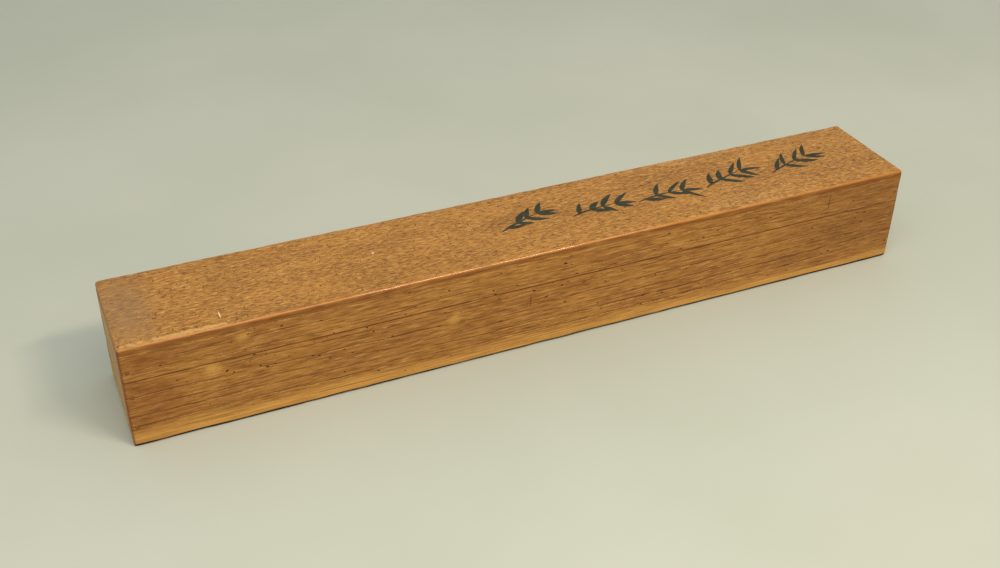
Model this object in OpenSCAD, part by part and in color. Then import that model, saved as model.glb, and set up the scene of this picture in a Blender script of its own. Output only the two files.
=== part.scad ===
// Long lidded storage box of paulownia boards, for one rolled hanging scroll.
// The lid and the body meet in a flush seam. An inner lip stands up out of the body and keeps the lid in place.
// X runs along the box, Y from the front to the back, Z up. The origin is the centre of the footprint.

/* [Box] */
// Outside length of the box
box_length = 545; // [300:1:900]
// Outside width of the box, front to back
box_width = 77; // [66:1:130]
// Height of the body, from the table to the seam
body_height = 47; // [40:1:90]
// Height of the lid, from the seam to the top
lid_height = 24; // [20:1:50]

/* [Boards] */
// Thickness of the body's side and end boards
wall = 8; // [6.5:0.5:10]
// Thickness of the bottom board
bottom_board_t = 6; // [5:0.5:10]
// Thickness of the lid's top board
top_board_t = 5; // [4:0.5:7]
// Thickness of the inner lip's strips
lip_t = 4; // [3:0.5:6]
// Height that the lip stands above the body's boards
lip_rise = 12; // [6:1:12]

/* [Fits] */
// Gap between the lip and the lid's rim boards, on each side
lid_clearance = 0.4; // [0.3:0.1:1]
// Gap round the roller in the notch of a roller rest
roller_clearance = 0.5; // [0.3:0.1:2]

/* [Edges] */
// Radius of the lid's upper edges
top_round = 1.5; // [0.5:0.5:4]
// Radius of the upright corners
corner_round = 1; // [0.5:0.5:3]
// Radius of the body's lower edges
base_round = 1; // [0.5:0.5:3]
// Depth of the fine chamfers that meet at the seam
seam_chamfer = 0.4; // [0.2:0.1:0.8]
// Chamfer on the lip's upper outside edge, which guides the lid on
lip_chamfer = 1.2; // [0.5:0.1:2]

/* [Pegs] */
// Diameter of the wooden pegs
peg_d = 2.2; // [1.6:0.1:3]
// Depth that a peg goes into the second board
peg_bite = 12; // [6:1:12]
// Largest distance between pegs along a board
peg_pitch = 100; // [60:5:160]
// Height of the lower corner peg above the bottom board
low_peg_rise = 8; // [6:0.5:12]
// Depth of the upper corner peg below the body's rim
high_peg_drop = 11; // [6:0.5:12]
// Height of the lid's corner pegs above the seam
lid_peg_rise = 7; // [5:0.5:8]

/* [Roller rests] */
// Diameter of the scroll roller's end
roller_d = 24; // [18:1:30]
// Thickness of a rest, along the box
rest_t = 10; // [6:1:16]
// Height of a rest's arms above the roller's axis
arm_rise = 2; // [0:0.5:4]
// Radius of the upper corners of a rest
arm_round = 5; // [1:0.5:6]

/* [Hidden] */
$fn = 64;

aged_wood = "#9c6a37";
pale_wood = "#cfae7c";
peg_wood = "#7a4f28";

box_height = body_height + lid_height;
rim_t = wall - lid_clearance;           // the lid's rim boards give the lip its clearance
rim_z = box_height - top_board_t;       // underside of the lid's top board
inner_length = box_length - 2 * wall;   // between the body's end boards
inner_width = box_width - 2 * wall;     // between the body's side boards
lip_z = body_height + lip_rise;         // top of the lip
bay_width = inner_width - 2 * lip_t;    // between the long strips of the lip
side_height = body_height - bottom_board_t;
rim_height = rim_z - body_height;
roller_axis_z = (bottom_board_t + rim_z) / 2;
notch_r = roller_d / 2 + roller_clearance;
peg_wood_margin = 0.5;                  // wood between a peg and the start of a rounded edge
overcut = 1;                            // a cutter passes the surface by this much
bottom_peg_inset = max(wall / 2, base_round + peg_d / 2 + peg_wood_margin);
bottom_peg_length = bottom_board_t + peg_bite;
end_peg_y = (box_width / 2 - wall - peg_bite) / 2;  // halfway to the tips of the corner pegs
lid_peg_z = body_height + lid_peg_rise;
body_peg_heights = [bottom_board_t + low_peg_rise, body_height - high_peg_drop];

// Both ends or both sides of the box
both = [-1, 1];

// Peg places along a board: evenly spaced, no further apart than the pitch
function peg_row(length) =
    let (count = max(2, ceil(length / peg_pitch)))
    [for (i = [0 : count - 1]) length * ((i + 0.5) / count - 0.5)];

// Rectangle from the table up to height h, with its own radius for the lower and for the upper corners
module rounded_profile(w, h, low_r, high_r) {
    translate([-w / 2, low_r]) square([w, h - low_r - high_r]);
    translate([-w / 2 + low_r, 0]) square([w - 2 * low_r, low_r]);
    translate([-w / 2 + high_r, h - high_r]) square([w - 2 * high_r, high_r]);
    for (side = both) {
        translate([side * (w / 2 - low_r), low_r]) circle(low_r);
        translate([side * (w / 2 - high_r), h - high_r]) circle(high_r);
    }
}

// Outline of the closed box seen along one of its long or short walls, with the fine groove at the seam
module wall_profile(w) {
    difference() {
        rounded_profile(w, box_height, base_round, top_round);
        for (side = both)
            translate([side * w / 2, body_height]) rotate(45) square(seam_chamfer * sqrt(2), center = true);
    }
}

// Outer form of the closed box. Every outside board is cut from it, so the edges run on from board to board
module outer_form() {
    intersection() {
        rotate([90, 0, 90]) linear_extrude(box_length, center = true) wall_profile(box_width);
        rotate([90, 0, 0]) linear_extrude(box_width, center = true) wall_profile(box_length);
        linear_extrude(box_height)
            translate([0, -box_width / 2]) rounded_profile(box_length, box_width, corner_round, corner_round);
    }
}

// Board with its size and its lowest corner, trimmed to the box's outer form
module outer_board(low, size) {
    intersection() {
        translate(low) cube(size);
        outer_form();
    }
}

// Upright pegs through the bottom board into the side and end boards
module bottom_pegs() {
    for (x = peg_row(box_length), y = both)
        translate([x, y * (box_width / 2 - bottom_peg_inset), 0]) cylinder(h = bottom_peg_length, d = peg_d);
    for (x = both, y = both)
        translate([x * (box_length / 2 - bottom_peg_inset), y * end_peg_y, 0])
            cylinder(h = bottom_peg_length, d = peg_d);
}

// Level pegs through the side boards into the edges of the end boards
module corner_pegs(heights, end_t) {
    length = wall + peg_bite;
    for (x = both, y = both, z = heights)
        translate([x * (box_length / 2 - end_t / 2), y * box_width / 2, z])
            rotate([y * 90, 0, 0]) cylinder(h = length, d = peg_d);
}

module lid_top_board() {
    color(aged_wood)
        outer_board([-box_length / 2, -box_width / 2, rim_z], [box_length, box_width, top_board_t]);
}

// Long rim board of the lid: side is -1 at the front and 1 at the back
module lid_long_rim(side) {
    y = side < 0 ? -box_width / 2 : box_width / 2 - rim_t;
    color(aged_wood) difference() {
        outer_board([-box_length / 2, y, body_height], [box_length, rim_t, rim_height]);
        corner_pegs([lid_peg_z], rim_t);
    }
}

// Short rim board of the lid, between the long ones: side is -1 at the left and 1 at the right
module lid_end_rim(side) {
    x = side < 0 ? -box_length / 2 : box_length / 2 - rim_t;
    color(aged_wood) difference() {
        outer_board([x, -box_width / 2 + rim_t, body_height], [rim_t, box_width - 2 * rim_t, rim_height]);
        corner_pegs([lid_peg_z], rim_t);
    }
}

module bottom_board() {
    color(aged_wood) difference() {
        outer_board([-box_length / 2, -box_width / 2, 0], [box_length, box_width, bottom_board_t]);
        bottom_pegs();
    }
}

module body_side(side) {
    y = side < 0 ? -box_width / 2 : box_width / 2 - wall;
    color(aged_wood) difference() {
        outer_board([-box_length / 2, y, bottom_board_t], [box_length, wall, side_height]);
        bottom_pegs();
        corner_pegs(body_peg_heights, wall);
    }
}

module body_end(side) {
    x = side < 0 ? -box_length / 2 : box_length / 2 - wall;
    color(aged_wood) difference() {
        outer_board([x, -inner_width / 2, bottom_board_t], [wall, inner_width, side_height]);
        bottom_pegs();
        corner_pegs(body_peg_heights, wall);
    }
}

// Lip strip standing on the bottom board along Y = 0, its outside face towards +Y
module lip_strip(length) {
    rotate([90, 0, 90]) linear_extrude(length, center = true)
        polygon([
            [-lip_t, bottom_board_t],
            [0, bottom_board_t],
            [0, lip_z - lip_chamfer],
            [-lip_chamfer, lip_z],
            [-lip_t, lip_z]
        ]);
}

module lip_long(side) {
    color(pale_wood) translate([0, side * inner_width / 2, 0]) mirror([0, side < 0 ? 1 : 0, 0])
        lip_strip(inner_length);
}

module lip_end(side) {
    color(pale_wood) translate([side * inner_length / 2, 0, 0]) rotate(-side * 90)
        lip_strip(bay_width);
}

// Upright block with a round notch that a roller's end lies in
module roller_rest(side) {
    top = roller_axis_z + arm_rise;
    x = side * (inner_length / 2 - lip_t - rest_t / 2);
    color(pale_wood) translate([x, 0, 0]) rotate([90, 0, 90]) linear_extrude(rest_t, center = true)
        difference() {
            union() {
                translate([-bay_width / 2, bottom_board_t])
                    square([bay_width, top - arm_round - bottom_board_t]);
                translate([-bay_width / 2 + arm_round, top - arm_round])
                    square([bay_width - 2 * arm_round, arm_round]);
                for (arm = both)
                    translate([arm * (bay_width / 2 - arm_round), top - arm_round]) circle(arm_round);
            }
            translate([0, roller_axis_z]) circle(notch_r);
            translate([-notch_r, roller_axis_z]) square([2 * notch_r, arm_rise + overcut]);
        }
}

lid_top_board();
lid_long_rim(-1);  // lid_front_rim
lid_long_rim(1);  // lid_back_rim
lid_end_rim(-1);  // lid_left_rim
lid_end_rim(1);  // lid_right_rim
color(peg_wood) corner_pegs([lid_peg_z], rim_t);  // lid_corner_pegs
bottom_board();
body_side(-1);  // body_front_side
body_side(1);  // body_back_side
body_end(-1);  // body_left_end
body_end(1);  // body_right_end
lip_long(-1);  // lip_front
lip_long(1);  // lip_back
lip_end(-1);  // lip_left
lip_end(1);  // lip_right
roller_rest(-1);  // left_roller_rest
roller_rest(1);  // right_roller_rest
color(peg_wood) corner_pegs(body_peg_heights, wall);  // body_corner_pegs
color(peg_wood) bottom_pegs();
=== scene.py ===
"""Looks of a long lidded storage box of paulownia boards, for one rolled hanging scroll.

The boards are old: brown and handled outside, pale inside where no light came. Lengths are in millimetres,
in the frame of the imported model, and a finished piece is turned into metres.
"""

from __future__ import annotations

import logging
import math
import random
from collections.abc import Iterable
from dataclasses import dataclass, field, replace
from enum import Enum
from itertools import combinations

import bmesh
import bpy
from bmesh.types import BMesh, BMFace, BMVert
from bpy.types import Material, NodeSocket, NodeTree, Object
from mathutils import Matrix, Vector, noise

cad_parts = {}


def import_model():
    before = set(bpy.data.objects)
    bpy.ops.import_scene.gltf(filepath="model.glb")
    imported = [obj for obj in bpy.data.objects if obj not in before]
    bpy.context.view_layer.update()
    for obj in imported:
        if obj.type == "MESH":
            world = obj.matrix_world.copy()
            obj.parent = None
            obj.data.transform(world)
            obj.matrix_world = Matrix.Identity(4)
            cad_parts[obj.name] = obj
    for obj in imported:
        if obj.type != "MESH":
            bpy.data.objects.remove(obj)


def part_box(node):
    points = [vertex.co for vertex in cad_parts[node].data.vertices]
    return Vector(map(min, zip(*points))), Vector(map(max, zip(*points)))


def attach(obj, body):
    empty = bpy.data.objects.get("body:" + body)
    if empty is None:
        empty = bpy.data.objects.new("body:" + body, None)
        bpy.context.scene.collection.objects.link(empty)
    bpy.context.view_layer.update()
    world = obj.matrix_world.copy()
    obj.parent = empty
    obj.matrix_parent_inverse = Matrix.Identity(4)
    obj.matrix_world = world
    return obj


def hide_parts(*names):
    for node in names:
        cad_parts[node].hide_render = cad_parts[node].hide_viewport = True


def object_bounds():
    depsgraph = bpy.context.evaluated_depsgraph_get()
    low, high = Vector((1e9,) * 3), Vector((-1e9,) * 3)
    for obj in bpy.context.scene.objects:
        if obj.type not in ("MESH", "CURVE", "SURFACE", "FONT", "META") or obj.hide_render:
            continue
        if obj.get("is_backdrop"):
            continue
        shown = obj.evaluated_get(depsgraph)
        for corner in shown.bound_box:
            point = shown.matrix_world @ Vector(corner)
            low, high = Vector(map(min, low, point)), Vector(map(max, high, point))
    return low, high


LOG = logging.getLogger("scroll_box")
MM = 0.001
# Angle above which an edge between two faces stays sharp
SHARP = math.radians(38)
# Inputs of a node that mixes two colours, and its output: Blender gives them no names of their own.
SHARE, UNDER, OVER, MIXED = 0, 6, 7, 2
# Strength of the raised grain where no hand has worn it, and where it is rubbed smooth
RAISED, RUBBED = 0.8, 0.1


class Side(Enum):
    """A face of the box, as the axis that it looks along and the sign of its outward normal."""

    LEFT = (0, -1)
    RIGHT = (0, 1)
    FRONT = (1, -1)
    BACK = (1, 1)
    BASE = (2, -1)
    TOP = (2, 1)

    @property
    def axis(self) -> int:
        """Number of the axis that the face looks along."""
        return self.value[0]

    @property
    def sign(self) -> int:
        """Sign of the outward normal on that axis."""
        return self.value[1]

    @property
    def word(self) -> str:
        """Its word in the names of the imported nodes."""
        return self.name.lower()


class Run(Enum):
    """Way that a board's grain and length run, as the number of the axis."""

    ALONG = 0
    ACROSS = 1


# --------------------------------------------------------------------------------------------------
# Finishes


def linear(hex_colour: str) -> tuple[float, float, float, float]:
    """Turns an sRGB hex colour into linear RGBA.

    Args:
        hex_colour: Colour as "#rrggbb".

    Returns:
        Red, green, blue and alpha, each from 0 to 1.
    """
    channels = [int(hex_colour[i : i + 2], 16) / 255 for i in (1, 3, 5)]
    bright = [c / 12.92 if c <= 0.04045 else ((c + 0.055) / 1.055) ** 2.4 for c in channels]
    return (*bright, 1.0)


def add_node(
    tree: NodeTree, kind: str, inputs: dict | tuple, out: int | str = 0, **settings: object
) -> NodeSocket | None:
    """Adds a node with its settings, and gives each input a value or another node's output.

    Args:
        tree: Node tree that the node goes into.
        kind: Blender's name of the node type, without its prefix.
        inputs: Value or output socket for each input, in Blender's order, or by the input's name or number.
        out: Name or number of the output to return.
        **settings: Properties of the node, by name.

    Returns:
        The output socket, or None from a node that has no output.
    """
    node = tree.nodes.new(f"ShaderNode{kind}")
    for name, value in settings.items():
        setattr(node, name, value)
    given = inputs.items() if isinstance(inputs, dict) else enumerate(inputs)
    for key, value in given:
        if isinstance(value, NodeSocket):
            tree.links.new(value, node.inputs[key])
        else:
            node.inputs[key].default_value = value
    return node.outputs[out] if node.outputs else None


def empty_material(name: str) -> tuple[Material, NodeTree, NodeSocket]:
    """Makes a material that has no surface yet.

    Args:
        name: Name of the finish.

    Returns:
        The material, its node tree, and the point of the piece in metres, which its patterns start from.
    """
    material = bpy.data.materials.new(name)
    material.use_nodes = True
    tree = material.node_tree
    tree.nodes.clear()
    return material, tree, add_node(tree, "TexCoord", (), out="Object")


def patchwork(
    tree: NodeTree,
    point: NodeSocket,
    size: tuple[float, float, float],
    detail: float,
    shift: tuple[float, float, float] = (0.0, 0.0, 0.0),
) -> NodeSocket:
    """Makes a random pattern of soft patches.

    Args:
        tree: Node tree.
        point: Point of the piece.
        size: Size of a patch along X, Y and Z, in the point's units.
        detail: How many layers of finer patches break up the coarse ones.
        shift: Shift that makes the pattern differ from another of the same size.

    Returns:
        The pattern, mostly between 0.3 and 0.7.
    """
    stretched = {"Vector": point, "Location": shift, "Scale": tuple(1 / length for length in size)}
    stretched = add_node(tree, "Mapping", stretched)
    return add_node(tree, "TexNoise", {"Vector": stretched, "Scale": 1.0, "Detail": detail})


@dataclass(frozen=True)
class Swell:
    """Stretch where the growth lines rise or dip together, as they do beside a knot deeper in the log.

    Attributes:
        x: Middle of the stretch along the board.
        reach: Distance at which it has faded to about a third.
        rise: How far the lines rise, or dip if it is negative.
    """

    x: float
    reach: float
    rise: float


@dataclass(frozen=True)
class Mark:
    """Mark that age or use left on a face, as a soft ball of colour round a point of the surface.

    Attributes:
        at: Place of its middle.
        size: Half sizes along X, Y and Z.
        colour: sRGB hex colour.
        strength: Share of that colour at its middle.
        edge: Share of the half size over which it fades out.
        ragged: How far a broken edge shifts it, as a share of the half size.
    """

    at: tuple[float, float, float]
    size: tuple[float, float, float]
    colour: str
    strength: float
    edge: float = 0.6
    ragged: float = 0.7


@dataclass(frozen=True)
class Band:
    """Band round a line or a plane parallel to the axes, such as an arris rubbed by hands, a seam dark with
    dust and painted shade, or a painted contact shadow.

    Attributes:
        at: Place on each axis, with None for the axes that it runs along.
        reach: Distance at which it has faded out. It is whole up to a quarter of that.
        colour: sRGB hex colour.
        strength: Share of that colour in its middle. Above 1 it stays whole where the uneven patches thin
            the band, as the painted contact shadow along the foot does.
        polish: How much smoother the surface is in its middle.
    """

    at: tuple[float | None, float | None, float | None]
    reach: float
    colour: str
    strength: float
    polish: float = 0.0


@dataclass(frozen=True)
class Paulownia:
    """Bare paulownia, planed by hand and never sealed.

    The eye gets a soft sheen that is stronger on rubbed arrises, growth lines that are a dark line of late
    wood over a pale dotted row of pores, and short dark flecks where the plane cut the large vessels open.

    Attributes:
        name: Name of the finish.
        light: Colour of the lightest wood, as sRGB hex.
        deep: Colour of the deepest wood between the lines.
        late: Colour of the late-wood lines.
        vessel: Colour of the opened vessels.
        chalk: Colour of the pale rows of pores.
        pith: Place of the log's heart, across the grain and up.
        ring: Width of one year's growth.
        streak: Length of the fibres' streaks.
        fleck: Length of the opened vessels.
        late_share: Share of the late-wood colour in a growth line.
        chalk_share: Share of the pale colour in a row of pores.
        vessel_share: Share of the vessel colour in a fleck.
        dust_share: Share of the pale colour in a fleck that holds dust.
        nick_share: Share of the vessel colour in a nick across the grain.
        roughness: Roughness on the flat of a board.
        gloss: Strength of the sheen on the flat of a board, where 0.5 is that of clean wood.
        shine: How much stronger the sheen is where a band is polished, for each unit of polish.
        relief: Height of the raised grain.
        run: Way that the grain runs.
        swells: Stretches where the growth lines rise or dip.
        sapwood: Colour of the band low on the sides, or None where there is none.
        marks: Marks that age and use left.
        bands: Rubbed arrises, the dark seam of dust and painted shade, and the painted contact shadow along
            the foot.
    """

    name: str
    light: str
    deep: str
    late: str
    vessel: str
    chalk: str
    pith: tuple[float, float] = (0.0, -220.0)
    ring: float = 7.1
    streak: float = 12.0
    fleck: float = 3.0
    late_share: float = 0.6
    chalk_share: float = 0.35
    vessel_share: float = 0.62
    dust_share: float = 0.4
    nick_share: float = 0.0
    roughness: float = 0.52
    gloss: float = 0.2
    shine: float = 1.6
    relief: float = 0.10
    run: Run = Run.ALONG
    swells: tuple[Swell, ...] = ()
    sapwood: str | None = None
    marks: tuple[Mark, ...] = ()
    bands: tuple[Band, ...] = ()

    def build(self) -> Material:
        """Makes the finish.

        Returns:
            The Blender material.
        """
        material, tree, point = empty_material(self.name)
        place = add_node(tree, "VectorMath", {"Vector": point, "Scale": 1 / MM}, operation="SCALE")
        turn = math.pi / 2 if self.run is Run.ACROSS else 0.0
        grain = add_node(tree, "Mapping", {"Vector": place, "Rotation": (0.0, 0.0, turn)})
        # The fibres' streaks are drawn 0.7 mm wide, the finest that the eye makes out.
        fibre = patchwork(tree, grain, (self.streak, 0.7, 0.7), 4.0)
        vessels, dust = self.vessels(tree, grain)
        late, pores = self.growth(tree, grain)
        colour = self.tone(tree, grain, fibre)
        laid = ((late, self.late), (pores, self.chalk), (dust, self.chalk), (vessels, self.vessel))
        for share, over in laid:
            layers = {SHARE: share, UNDER: colour, OVER: linear(over)}
            colour = add_node(tree, "Mix", layers, out=MIXED, data_type="RGBA")
        if self.sapwood:
            colour = self.low_sapwood(tree, place, fibre, colour)
        colour = self.marked(tree, place, colour)
        colour, polish = self.handled(tree, place, colour)
        height = add_node(tree, "Math", (fibre, vessels), operation="SUBTRACT")
        height = add_node(tree, "Math", (height, late), operation="SUBTRACT")
        rough = add_node(tree, "MapRange", (fibre, 0.3, 0.7, self.roughness - 0.05, self.roughness + 0.05))
        raised, gloss = RAISED, self.gloss
        if self.bands:
            raised = add_node(tree, "MapRange", (polish, 0.0, 0.2, RAISED, RUBBED))
            rough = add_node(tree, "Math", (rough, polish), operation="SUBTRACT")
            gloss = add_node(tree, "Math", (polish, self.shine, self.gloss), operation="MULTIPLY_ADD")
        bump = add_node(tree, "Bump", {"Height": height, "Distance": self.relief * MM, "Strength": raised})
        wood = {"Base Color": colour, "Roughness": rough, "Normal": bump, "IOR": 1.45}
        surface = add_node(tree, "BsdfPrincipled", {**wood, "Specular IOR Level": gloss})
        add_node(tree, "OutputMaterial", {"Surface": surface})
        return material

    def vessels(self, tree: NodeTree, grain: NodeSocket) -> tuple[NodeSocket, NodeSocket]:
        """Works out the opened vessels, drawn a little wider than they are so that they show.

        Args:
            tree: Node tree.
            grain: Point on the box, with X along the grain.

        Returns:
            Share of the dark of the deep ones, and share of the pale dust in the shallow ones.
        """
        opened = patchwork(tree, grain, (self.fleck, 0.9, 0.9), 2.0)
        deep = (opened, 0.46, 0.33, 0.0, self.vessel_share)
        deep = add_node(tree, "MapRange", deep, interpolation_type="SMOOTHSTEP")
        nicks = patchwork(tree, grain, (1 / 1.3, 4.5, 4.5), 1.0, shift=(7.0, 3.0, 0.0))
        nicks = add_node(tree, "MapRange", (nicks, 0.33, 0.28, 0.0, self.nick_share))
        deep = add_node(tree, "Math", (deep, nicks), operation="MAXIMUM")
        dust = (opened, 0.58, 0.68, 0.0, self.dust_share)
        return deep, add_node(tree, "MapRange", dust, interpolation_type="SMOOTHSTEP")

    def growth(self, tree: NodeTree, grain: NodeSocket) -> tuple[NodeSocket, NodeSocket]:
        """Works out the growth lines.

        Args:
            tree: Node tree.
            grain: Point on the box, with X along the grain.

        Returns:
            Share of the dark late-wood line, and share of the pale row of pores under it.
        """
        along = add_node(tree, "SeparateXYZ", (grain,), out="X")
        wander = patchwork(tree, grain, (70.0, 40.0, 40.0), 4.0)
        lift = add_node(tree, "MapRange", (wander, 0.0, 1.0, -3.2, 3.2))
        for swell in self.swells:
            off = add_node(tree, "Math", (along, swell.x), operation="SUBTRACT")
            off = add_node(tree, "Math", (off, swell.reach), operation="DIVIDE")
            square = add_node(tree, "Math", (off, off), operation="MULTIPLY")
            fall = add_node(tree, "Math", (square, -1.0), operation="MULTIPLY")
            bell = add_node(tree, "Math", (fall,), operation="EXPONENT")
            lift = add_node(tree, "Math", (bell, -swell.rise, lift), operation="MULTIPLY_ADD")
        arm = add_node(tree, "VectorMath", (grain, (0.0, *self.pith)), operation="SUBTRACT")
        arm = add_node(tree, "VectorMath", (arm, (0.0, 1.0, 1.0)), operation="MULTIPLY")
        radius = add_node(tree, "VectorMath", (arm,), out="Value", operation="LENGTH")
        radius = add_node(tree, "Math", (radius, lift), operation="ADD")
        years = add_node(tree, "Math", (radius, self.ring), operation="DIVIDE")
        # Good years and poor years make the rings up to nearly a ring's width uneven.
        uneven = {"W": years, "Scale": 0.6, "Detail": 1.0}
        uneven = add_node(tree, "TexNoise", uneven, noise_dimensions="1D")
        years = add_node(tree, "Math", (uneven, 0.9, years), operation="MULTIPLY_ADD")
        phase = add_node(tree, "Math", (years,), operation="FRACT")
        late = (phase, 0.14, 0.03, 0.0, self.late_share)
        late = add_node(tree, "MapRange", late, interpolation_type="SMOOTHSTEP")
        fade = add_node(tree, "MapRange", (wander, 0.3, 0.6, 0.35, 1.0))
        late = add_node(tree, "Math", (late, fade), operation="MULTIPLY")
        pores = (phase, 0.87, 0.95, 0.0, self.chalk_share)
        pores = add_node(tree, "MapRange", pores, interpolation_type="SMOOTHSTEP")
        dots = patchwork(tree, grain, (1.6, 0.9, 0.9), 1.0)
        worn = patchwork(tree, grain, (60.0, 5.0, 5.0), 3.0)
        for broken in ((dots, 0.38, 0.62, 0.0, 1.0), (worn, 0.4, 0.65, 0.25, 1.0)):
            left = add_node(tree, "MapRange", broken)
            pores = add_node(tree, "Math", (pores, left), operation="MULTIPLY")
        return late, pores

    def tone(self, tree: NodeTree, grain: NodeSocket, fibre: NodeSocket) -> NodeSocket:
        """Mixes the wood's light and deep colours, in broad clouds and along the fibres.

        Args:
            tree: Node tree.
            grain: Point on the box, with X along the grain.
            fibre: Streaks of the fibres.

        Returns:
            The wood's colour between its lines.
        """
        clouds = patchwork(tree, grain, (55.0, 16.0, 16.0), 5.0)
        specks = patchwork(tree, grain, (1.25 * self.fleck, 1 / 0.9, 1 / 0.9), 2.0)
        share = add_node(tree, "MapRange", (clouds, 0.35, 0.65, 0.04, 0.3))
        for pattern in (fibre, specks):
            part = add_node(tree, "MapRange", (pattern, 0.36, 0.64, 0.0, 0.4))
            share = add_node(tree, "Math", (share, part), operation="ADD")
        ends = {SHARE: share, UNDER: linear(self.deep), OVER: linear(self.light)}
        return add_node(tree, "Mix", ends, out=MIXED, data_type="RGBA")

    def low_sapwood(
        self, tree: NodeTree, place: NodeSocket, fibre: NodeSocket, colour: NodeSocket
    ) -> NodeSocket:
        """Lays the paler sapwood over the lowest part of the box, with a wandering edge.

        Args:
            tree: Node tree.
            place: Point on the box.
            fibre: Streaks of the fibres, which stay visible in it.
            colour: Colour so far.

        Returns:
            The colour with the sapwood.
        """
        wander = patchwork(tree, place, (45.0, 20.0, 9.0), 3.0)
        tilted = (place, (0.008, 0.0, 1.0))
        tilted = add_node(tree, "VectorMath", tilted, out="Value", operation="DOT_PRODUCT")
        height = add_node(tree, "Math", (wander, 9.0, tilted), operation="MULTIPLY_ADD")
        share = add_node(tree, "MapRange", (height, 17.0, 9.0, 0.0, 1.0), interpolation_type="SMOOTHSTEP")
        streaks = add_node(tree, "MapRange", (fibre, 0.38, 0.6, 0.35, 0.85))
        share = add_node(tree, "Math", (share, streaks), operation="MULTIPLY")
        layers = {SHARE: share, UNDER: colour, OVER: linear(self.sapwood)}
        return add_node(tree, "Mix", layers, out=MIXED, data_type="RGBA")

    def marked(self, tree: NodeTree, place: NodeSocket, colour: NodeSocket) -> NodeSocket:
        """Lays the marks over the wood, each with a broken edge.

        Args:
            tree: Node tree.
            place: Point on the box.
            colour: Colour so far.

        Returns:
            The colour with its marks.
        """
        broken = add_node(tree, "TexNoise", {"Vector": place, "Scale": 0.35, "Detail": 3.0})
        for mark in self.marks:
            off = add_node(tree, "VectorMath", (place, mark.at), operation="SUBTRACT")
            off = add_node(tree, "VectorMath", (off, mark.size), operation="DIVIDE")
            away = add_node(tree, "VectorMath", (off,), out="Value", operation="LENGTH")
            away = add_node(tree, "Math", (broken, mark.ragged, away), operation="MULTIPLY_ADD")
            far = 1 + mark.ragged / 2
            fade = (away, far, far - mark.edge, 0.0, mark.strength)
            share = add_node(tree, "MapRange", fade, interpolation_type="SMOOTHSTEP")
            layers = {SHARE: share, UNDER: colour, OVER: linear(mark.colour)}
            colour = add_node(tree, "Mix", layers, out=MIXED, data_type="RGBA")
        return colour

    def handled(
        self, tree: NodeTree, place: NodeSocket, colour: NodeSocket
    ) -> tuple[NodeSocket, NodeSocket | float]:
        """Lays the bands over the wood, unevenly along their length.

        Args:
            tree: Node tree.
            place: Point on the box.
            colour: Colour so far.

        Returns:
            The colour, and how much smoother the surface is: 0 without bands.
        """
        polish = 0.0
        patches = patchwork(tree, place, (22.0, 8.0, 8.0), 5.0)
        patches = add_node(tree, "MapRange", (patches, 0.32, 0.56, 0.45, 1.0))
        for band in self.bands:
            held = tuple(0.0 if c is None else 1.0 for c in band.at)
            at = tuple(c or 0.0 for c in band.at)
            off = add_node(tree, "VectorMath", (place, at), operation="SUBTRACT")
            off = add_node(tree, "VectorMath", (off, held), operation="MULTIPLY")
            away = add_node(tree, "VectorMath", (off,), out="Value", operation="LENGTH")
            fade = (away, band.reach, band.reach * 0.25, 0.0, 1.0)
            share = add_node(tree, "MapRange", fade, interpolation_type="SMOOTHSTEP")
            share = add_node(tree, "Math", (share, patches), operation="MULTIPLY")
            tint = add_node(tree, "Math", (share, band.strength), operation="MULTIPLY")
            layers = {SHARE: tint, UNDER: colour, OVER: linear(band.colour)}
            colour = add_node(tree, "Mix", layers, out=MIXED, data_type="RGBA")
            polish = add_node(tree, "Math", (share, band.polish, polish), operation="MULTIPLY_ADD")
        return colour, polish


@dataclass(frozen=True)
class Plain:
    """Surface of one colour with fine mottling, for what shows as a small area or as the studio.

    Attributes:
        name: Name of the finish.
        colour: sRGB hex colour.
        mottle: sRGB hex colour of the mottling.
        grain: Size of the mottling along X, Y and Z.
        roughness: Roughness.
        relief: Height of the surface's own texture.
        gloss: Strength of the sheen, where 0.5 is that of a clean surface.
    """

    name: str
    colour: str
    mottle: str
    grain: tuple[float, float, float]
    roughness: float
    relief: float = 0.02
    gloss: float = 0.3

    def build(self) -> Material:
        """Makes the finish.

        Returns:
            The Blender material.
        """
        material, tree, point = empty_material(self.name)
        mottling = patchwork(tree, point, tuple(size * MM for size in self.grain), 4.0)
        share = add_node(tree, "MapRange", (mottling, 0.35, 0.65, 0.0, 1.0))
        ends = {SHARE: share, UNDER: linear(self.colour), OVER: linear(self.mottle)}
        colour = add_node(tree, "Mix", ends, out=MIXED, data_type="RGBA")
        bump = add_node(tree, "Bump", {"Height": mottling, "Distance": self.relief * MM})
        rough = (mottling, 0.3, 0.7, self.roughness - 0.05, self.roughness + 0.05)
        rough = add_node(tree, "MapRange", rough)
        look = {"Base Color": colour, "Roughness": rough, "Normal": bump, "Specular IOR Level": self.gloss}
        surface = add_node(tree, "BsdfPrincipled", look)
        add_node(tree, "OutputMaterial", {"Surface": surface})
        return material


# --------------------------------------------------------------------------------------------------
# Boards


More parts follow.
